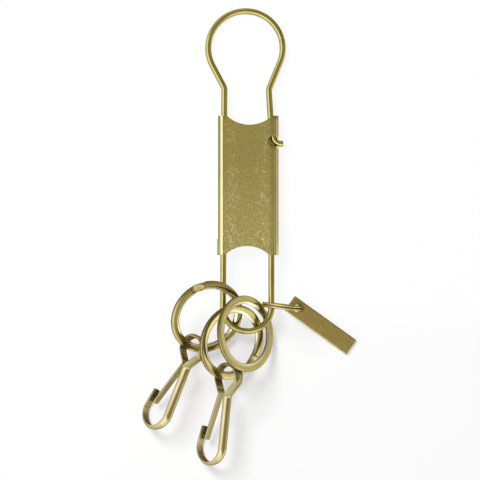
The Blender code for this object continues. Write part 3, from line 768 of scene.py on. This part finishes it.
def make_sleeve():
    sleeve = piece("sleeve_look", sleeve_body(), SLEEVE_BRASS, LOOP, FACE_SMOOTH_BELOW)
    thumb_radius = ((THUMB_CUT_CHORD / 2) ** 2 + THUMB_CUT_DEPTH**2) / (2 * THUMB_CUT_DEPTH)
    thumb_reach = SLEEVE_LENGTH / 2 - THUMB_CUT_DEPTH + thumb_radius
    step = 2 * math.pi / THUMB_CUT_SIDES
    tools = []
    for x, y in ((THUMB_CUT_TOP_X, thumb_reach), (THUMB_CUT_BOTTOM_X, -thumb_reach)):
        circle = arc((x, y), thumb_radius, 0, 2 * math.pi - step, step)
        tools.append(upright_prism(circle, -SLEEVE_THICKNESS, SLEEVE_THICKNESS))
    end_radius = WIRE_D / 2 + LATCH_HOLE_ROOM
    left_end = arc(LATCH_HOLE, end_radius, math.pi / 2, 3 * math.pi / 2, HOLE_STEP)
    beyond = SLEEVE_WIDTH / 2 + SLEEVE_WALL
    mouth = SEEN_WIRE_D / 2 + LATCH_MOUTH_ROOM
    slot = left_end + [Vector((beyond, LATCH_TIP[1] - mouth)), Vector((beyond, LATCH_TIP[1] + mouth))]
    tools.append(upright_prism(slot, -SLEEVE_THICKNESS / 2 + SLEEVE_WALL, SLEEVE_THICKNESS))
    cut_and_round(sleeve, tools, SLEEVE_EDGE_ROUNDING, SLEEVE_SHARP_FROM)
    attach(sleeve, "sleeve")
    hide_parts("sleeve")


# Split rings


def strip_section(half, rise, cut_up, cut_down):
    """A strip, bevelled inside and rounded outside on the faces that don't meet the other coil."""
    points = []
    for z_side, share in ((-1, cut_down), (1, cut_up)):
        bevel = half * (LEAST_CUT + BEVEL_WIDTH * share)
        corner = half * (LEAST_CUT + CORNER_WIDTH * share)
        drop = rise * (LEAST_DROP + CUT_DROP * share)
        face = [(-half + inward * bevel, rise - down * drop) for inward, down in BEVEL_CURVE]
        face.append((POINT_BETWEEN * half, rise))
        for k in range(1, CORNER_STEPS + 1):
            angle = math.radians(90 - 90 * k / CORNER_STEPS)
            face.append((half - corner + corner * math.cos(angle), rise - drop + drop * math.sin(angle)))
        points += [(x, z_side * z) for x, z in face][::-z_side]
    return points


def wire_section(half, rise, *_):
    """A round wire, whose section doesn't change as it climbs."""
    return oval(half, rise, TAG_RING_SIDES)


def split_ring(outer_radius, width, thickness, coil_gap, jog_angle, end_angle, section):
    """A strip wound twice, and the painted shade of each of its stations: some at the jog, more at the
    ends.
    """
    pitch = thickness + coil_gap
    coil = 2 * math.pi - jog_angle
    clear = RING_CLIMB_CLEARANCE * jog_angle
    radius = outer_radius - width / 2
    start = end_angle - jog_angle
    lower = list(np.linspace(0, coil, round(coil / FINE_STEP) + 1))
    jog = list(coil + clear + np.linspace(0, 1, JOG_STEPS + 1) * (jog_angle - 2 * clear))
    upper = [coil + jog_angle + turned_by for turned_by in lower]
    end_rounding = RING_END_ROUNDING * thickness
    stations, sections, dark = [], [], []
    angles = lower + jog + upper
    total = angles[-1]
    at_end = [end_rounding / radius * share for share in END_STATIONS]
    between = [turned_by for turned_by in angles if at_end[-1] < turned_by < total - at_end[-1]]
    angles = at_end + between + [total - turned_by for turned_by in at_end[::-1]]
    for turned_by in angles:
        climbed = eased(min(1, max(0, (turned_by - coil - clear) / (jog_angle - 2 * clear))))
        angle = start - turned_by
        out = Vector((math.cos(angle), math.sin(angle), 0))
        centre = out * radius + Vector((0, 0, (climbed - 0.5) * pitch))
        along = Vector((0, 0, 1)).cross(out)
        axes = Matrix((out, (0, 0, 1), along)).transposed().to_4x4()
        stations.append(Matrix.Translation(centre) @ axes)
        from_end = min(turned_by, total - turned_by) * radius
        shrink = end_rounding * (1 - math.sqrt(max(0, 1 - (1 - min(1, from_end / end_rounding)) ** 2)))
        sections.append(section(width / 2 - shrink, thickness / 2 - shrink, climbed, 1 - climbed))
        # Painted shade where the coils step past each other at the jog, and at the cut ends
        on_jog = JOG_PAINTED_SHADE * min(1, JOG_SHADE_SPREAD * climbed * (1 - climbed))
        at_tip = float(np.interp(from_end, (0, END_SHADE_REACH), (END_PAINTED_SHADE, 0.0)))
        dark.append(max(on_jog, at_tip))
    return sweep(stations, sections), dark


def ring_place(from_u, rise, level_turn, tilt):
    lean = math.radians(tilt)
    across, along = (share * RING_OUTER_RADIUS for share in from_u)
    height = RING_OUTER_RADIUS * (math.sin(lean) + rise)
    middle = Vector((U_CENTRE[0] + across, U_CENTRE[1] - U_RADIUS + along, height))
    return ROOT @ Matrix.Translation(middle) @ turned(level_turn, "Z") @ turned(tilt, "X")


def make_rings():
    places = {}
    for name, body, from_u, rise, level_turn, tilt, coil_end in RINGS:
        places[name] = ring_place(from_u, rise, level_turn, tilt)
        maker, dark = split_ring(
            RING_OUTER_RADIUS, RING_STRIP_WIDTH, RING_STRIP_THICKNESS, RING_COIL_GAP,
            RING_JOG_ANGLE, math.radians(coil_end), strip_section,
        )
        # Pale inner bevel for wear and a painted highlight, painted shade towards the outer corner, at
        # the jog, at the ends and on the side turned from the light
        tarnish_and_shade = [max(share, least) for least in dark for share in STRIP_PAINTED_SHADE + STRIP_PAINTED_SHADE[::-1]]
        ring = piece(
            name + "_look", maker, RING_BRASS, places[name], tarnish_and_shade=tarnish_and_shade,
            wear_and_highlight=list(STRIP_WEAR_AND_HIGHLIGHT + STRIP_WEAR_AND_HIGHLIGHT[::-1]) * len(dark),
            shaded_side=RING_PAINTED_SHADE_SIDE, shade_leans=RING_PAINTED_SHADE_LEANS,
        )
        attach(ring, body)
        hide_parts(name)
    return places


# Tag and its ring


def make_tag():
    middle = Vector((
        U_CENTRE[0] + U_RADIUS + TAG_RING_FROM_LEG,
        U_CENTRE[1] + TAG_RING_FROM_U,
        TAG_RING_OUTER_RADIUS + TAG_RING_REST_GAP,
    ))
    ring_at = ROOT @ Matrix.Translation(middle) @ turned(TAG_RING_TURN, "Z") @ turned(90, "X")
    maker, dark = split_ring(
        TAG_RING_OUTER_RADIUS, TAG_RING_STRIP_WIDTH, TAG_RING_STRIP_THICKNESS, TAG_RING_COIL_GAP,
        RING_JOG_ANGLE, math.radians(TAG_RING_COIL_END), wire_section,
    )
    sides = wire_section(1.0, 1.0)
    # Painted shade in the crease where the two coils meet
    creases = [float(np.interp(abs(up), CREASE_FROM_TO, (0.0, CREASE_PAINTED_SHADE))) for _, up in sides]
    ring = piece(
        "tag_ring_look", maker, RING_BRASS, ring_at,
        tarnish_and_shade=creases * len(dark), wear_and_highlight=[TAG_RING_WEAR] * len(maker.verts),
    )
    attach(ring, "tag_ring")
    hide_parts("tag_ring")

    angle = math.radians(TAG_HOLE_RING_ANGLE)
    radius = TAG_RING_OUTER_RADIUS - TAG_RING_STRIP_WIDTH / 2
    hole_at = ring_at @ Vector((radius * math.cos(angle), radius * math.sin(angle), 0))
    tag_at = Matrix.Translation(hole_at) @ turned(TAG_TURN, "Z") @ turned(TAG_TILT, "Y")
    near, far = -TAG_HOLE_INSET, TAG_LENGTH - TAG_HOLE_INSET
    half = TAG_WIDTH / 2
    corners = [Vector((near, -half)), Vector((far, -half)), Vector((far, half)), Vector((near, half))]
    maker = upright_prism(corners, -TAG_THICKNESS / 2, TAG_THICKNESS / 2)
    bmesh.ops.bevel(
        maker, geom=maker.edges[:], offset=TAG_BEVEL, segments=TAG_BEVEL_SEGMENTS,
        profile=TAG_BEVEL_PROFILE, affect="EDGES",
    )
    tag = piece("tag_look", maker, TAG_BRASS, tag_at, TAG_SMOOTH_BELOW)
    hole = arc((0, TAG_HOLE_ASIDE), TAG_HOLE_D / 2, 0, 2 * math.pi - HOLE_STEP, HOLE_STEP)
    drill = upright_prism(hole, -TAG_THICKNESS, TAG_THICKNESS)
    cut_and_round(tag, [drill], TAG_HOLE_ROUNDING, TAG_SHARP_FROM)
    # Painted shade on the wall of the hole
    tarnish_and_shade = tag.data.attributes["tarnish_and_shade"].data
    for vertex in tag.data.vertices:
        if math.hypot(vertex.co.x, vertex.co.y - TAG_HOLE_ASIDE) < TAG_HOLE_D / 2 + TAG_HOLE_ROUNDING:
            tarnish_and_shade[vertex.index].value = TAG_HOLE_PAINTED_SHADE
    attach(tag, "tag")
    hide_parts("tag")


# Spring clips


def clip_section(width, twist=0.0):
    """Half an ellipse, its dome at +X and its flat inner face at -X, turned by the twist."""
    flat = -CLIP_STRIP_THICKNESS / 2
    half = width / 2
    points = []
    for k in range(-CLIP_DOME_STEPS, CLIP_DOME_STEPS + 1):
        angle = math.radians(CLIP_DOME_STEP * k)
        points.append((flat + CLIP_STRIP_THICKNESS * math.cos(angle), half * math.sin(angle)))
    points += [(flat + CLIP_EDGE_RISE, half), (flat, half - CLIP_EDGE_INSET)]
    points += [(flat, share * width) for share in CLIP_FACE_POINTS]
    points += [(flat, -half + CLIP_EDGE_INSET), (flat + CLIP_EDGE_RISE, -half)]
    c, s = math.cos(math.radians(twist)), math.sin(math.radians(twist))
    return [(c * x - s * y, s * x + c * y) for x, y in points]


def clip_darkening(stations):
    """Darkening of each point, painted shade among it, from what each station has on its flat face and on
    its dome.
    """
    tarnish_and_shade = []
    for on_face, on_dome in stations:
        tarnish_and_shade += [on_dome] * (2 * CLIP_DOME_STEPS + 1)
        tarnish_and_shade += [max(on_dome, share * on_face) for share in CLIP_FACE_SHARES]
    return tarnish_and_shade


def clip_lines(gate_neck_at):
    """The clip's middle line in four parts: hook, bend of the arm, eye and bend of the gate."""
    nose_touch = tangent_angle(NOSE_TIP, HOOK_CENTRE, HOOK_RADIUS, 1)
    arm_touch = tangent_angle(ARM_NECK, HOOK_CENTRE, HOOK_RADIUS, -1) + 2 * math.pi
    hook = arc(HOOK_CENTRE, HOOK_RADIUS, nose_touch, arm_touch, CLIP_STEP)
    right_shoulder, top_right = (EYE_RIGHT, EYE_SHOULDER), (EYE_RIGHT, EYE_TOP)
    top_left, left_shoulder = (EYE_LEFT, EYE_TOP), (EYE_LEFT, EYE_SHOULDER)
    arm_neck = fillet(hook[-1], ARM_NECK, right_shoulder, ARM_NECK_RADIUS, CLIP_STEP)
    eye = fillet(ARM_NECK, right_shoulder, top_right, EYE_SHOULDER_RADIUS, CLIP_STEP)
    eye += fillet(right_shoulder, top_right, top_left, EYE_CROWN_RADIUS, CLIP_STEP)
    eye += fillet(top_right, top_left, left_shoulder, EYE_CROWN_RADIUS, CLIP_STEP)
    eye += fillet(top_left, left_shoulder, gate_neck_at, EYE_SHOULDER_RADIUS, CLIP_STEP)
    gate_neck = fillet(left_shoulder, gate_neck_at, GATE_TIP, GATE_NECK_RADIUS, CLIP_STEP)
    return hook, arm_neck, eye, gate_neck


def evenly(start, stop, count):
    return list(np.linspace(start, stop, count))


def make_clip(name, ring, ring_angle, out, over, plan_turn, roll, pitch, gate_neck_at):
    angle = math.radians(ring_angle)
    reach = RING_OUTER_RADIUS - RING_STRIP_WIDTH / 2 + out * RING_STRIP_WIDTH
    eye_at = ring @ Vector((reach * math.cos(angle), reach * math.sin(angle), over * RING_STRIP_WIDTH))
    eye_centre = Vector(((EYE_LEFT + EYE_RIGHT) / 2, EYE_MIDDLE, 0))
    place = Matrix.Translation(eye_at) @ turned(plan_turn, "Z") @ turned(pitch, "X") @ turned(-roll, "Y")
    place = place @ Matrix.Translation(-eye_centre)

    hook, arm_neck, eye, gate_neck = clip_lines(gate_neck_at)
    seam = gate_neck[0] + (eye[-1] - gate_neck[0]).normalized() * GATE_SEAM_BACK
    nose = [Vector(NOSE_TIP).lerp(hook[0], share) for share in NOSE_STATIONS]
    path = nose + hook + arm_neck + eye + [seam]
    widths = [CLIP_NOSE_WIDTH] * len(nose)
    widths += evenly(CLIP_NOSE_WIDTH, CLIP_ARM_WIDTH, len(hook))
    widths += evenly(CLIP_ARM_WIDTH, CLIP_EYE_WIDTH, len(arm_neck))
    widths += evenly(CLIP_EYE_WIDTH, CLIP_FLANK_WIDTH, len(eye)) + [CLIP_FLANK_WIDTH]
    untwisted = len(hook) // 2
    twists = [0.0] * (len(nose) + untwisted) + evenly(0.0, ARM_TWIST, len(hook) - untwisted)
    twists += evenly(ARM_TWIST, 0.0, len(arm_neck) + 1)
    twists += [0.0] * (len(path) - len(twists))
    # Painted shade inside the nose and round the eye, and a darker flat inner face elsewhere
    before_eye = len(nose) + len(hook) + len(arm_neck)
    marks = [NOSE_PAINTED_SHADE] * NOSE_DARK_STATIONS + [INSIDE_DARKENING] * (before_eye - NOSE_DARK_STATIONS)
    marks += [EYE_PAINTED_SHADE] * len(eye) + [INSIDE_DARKENING]
    maker = sweep(flat_stations(path), [clip_section(*pair) for pair in zip(widths, twists)])
    body = piece(name + "_body_look", maker, CLIP_BRASS, place, tarnish_and_shade=clip_darkening(marks))
    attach(body, name)
    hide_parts(name + "_body")

    gate_tip = Vector(GATE_TIP)
    path = [seam] + gate_neck + [gate_tip]
    narrowing = evenly(CLIP_FLANK_WIDTH, CLIP_GATE_WIDTH, len(gate_neck))
    widths = [CLIP_FLANK_WIDTH] + narrowing + [CLIP_GATE_WIDTH]
    marks = [INSIDE_DARKENING] * len(path)
    maker = sweep(flat_stations(path), [clip_section(width) for width in widths])
    gate = piece(name + "_gate_look", maker, CLIP_BRASS, place, tarnish_and_shade=clip_darkening(marks))
    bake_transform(gate)
    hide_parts(name + "_gate")


# Floor, light and camera


def make_floor():
    """White paper that looks fully lit, yet keeps the object's soft shadow, most of all near its foot."""
    bpy.ops.mesh.primitive_plane_add(size=FLOOR_SIZE, location=(0, 0, -FLOOR_UNDER))
    floor = bpy.context.active_object
    floor.name = "floor"
    material = bpy.data.materials.new("floor_paper")
    material.use_nodes = True
    tree = material.node_tree
    shader = tree.nodes["Principled BSDF"]
    shader.inputs["Roughness"].default_value = FLOOR_ROUGHNESS
    shader.inputs["Specular IOR Level"].default_value = 0.0
    n = Nodes(tree)
    parts = n.add("ShaderNodeSeparateXYZ")
    n.link(n.add("ShaderNodeTexCoord").outputs["Object"], parts.inputs["Vector"])
    glow = n.ramp(parts.outputs["Y"], *GLOW_FROM_TO, *FLOOR_GLOW)
    n.link(n.mix(glow, FLOOR_WHITE, (0.0, 0.0, 0.0)), shader.inputs["Base Color"])
    rays = n.add("ShaderNodeLightPath")
    seen = n.maths("MAXIMUM", rays.outputs["Is Camera Ray"], rays.outputs["Is Glossy Ray"])
    seen = n.maths("MAXIMUM", seen, rays.outputs["Is Transmission Ray"])
    shader.inputs["Emission Color"].default_value = (1, 1, 1, 1)
    n.link(n.maths("MULTIPLY", seen, glow), shader.inputs["Emission Strength"])
    floor.data.materials.append(material)


def make_world():
    """A studio: dim to the right, paler to the left and low down, with one big window."""
    world = bpy.data.worlds.new("studio")
    bpy.context.scene.world = world
    world.use_nodes = True
    n = Nodes(world.node_tree)
    background = world.node_tree.nodes["Background"]
    direction = n.add("ShaderNodeTexCoord").outputs["Generated"]
    parts = n.add("ShaderNodeSeparateXYZ")
    n.link(direction, parts.inputs["Vector"])
    sideways, upwards = parts.outputs["X"], parts.outputs["Z"]
    walls = n.ramp(sideways, *WALLS_FROM_TO, *WALLS_LIGHT)
    horizon = n.ramp(sideways, *WALLS_FROM_TO, *HORIZON_LIGHT)
    horizon = n.maths("MULTIPLY", horizon, n.ramp(upwards, *HORIZON_RISE))
    window = n.ramp(n.facing(direction, WINDOW_DIRECTION), *WINDOW_EDGE, 0.0, WINDOW_LIGHT)
    window = n.maths("MULTIPLY", window, n.ramp(upwards, *WINDOW_FOOT_RISE, WINDOW_FOOT_SHARE, 1.0))
    panel = n.ramp(n.facing(direction, PANEL_DIRECTION), *PANEL_EDGE, 0.0, PANEL_LIGHT)
    panel = n.maths("MULTIPLY", panel, n.ramp(upwards, *PANEL_RISE))
    light = n.maths("ADD", n.maths("ADD", walls, horizon), n.maths("ADD", window, panel))
    matt = n.add("ShaderNodeLightPath").outputs["Is Diffuse Ray"]
    weakened = n.maths("MULTIPLY", light, n.ramp(matt, 0.0, 1.0, 1.0, WORLD_ON_MATT))
    n.link(weakened, background.inputs["Strength"])
    whiteness = n.maths("MAXIMUM", n.ramp(light, *WHITE_FROM_TO), matt)
    n.link(n.mix(whiteness, DIM_COLOUR, (1.0, 1.0, 1.0)), background.inputs["Color"])


def make_key():
    data = bpy.data.lights.new("key", "AREA")
    data.size = KEY_SIZE
    data.energy = KEY_POWER
    lamp = bpy.data.objects.new("key", data)
    bpy.context.scene.collection.objects.link(lamp)
    lamp.location = KEY_AT
    lamp.rotation_euler = (-Vector(KEY_AT)).to_track_quat("-Z", "Y").to_euler()
    lamp.visible_glossy = False


def make_camera():
    data = bpy.data.cameras.new("camera")
    camera = bpy.data.objects.new("camera", data)
    bpy.context.scene.collection.objects.link(camera)
    data.sensor_width = SENSOR_WIDTH
    data.lens = data.sensor_width * VIEW_DISTANCE / VIEW_WIDTH
    data.clip_end = VIEW_END
    camera.location = (VIEW_X, VIEW_Y, VIEW_DISTANCE)
    bpy.context.scene.camera = camera


make_loop()
make_sleeve()
ring_places = make_rings()
make_tag()
for clip_name, ring_name, *rest in CLIPS:
    make_clip(clip_name, ring_places[ring_name], *rest)
make_floor()
make_world()
make_key()
make_camera()
bpy.context.scene.view_settings.view_transform = "Standard"
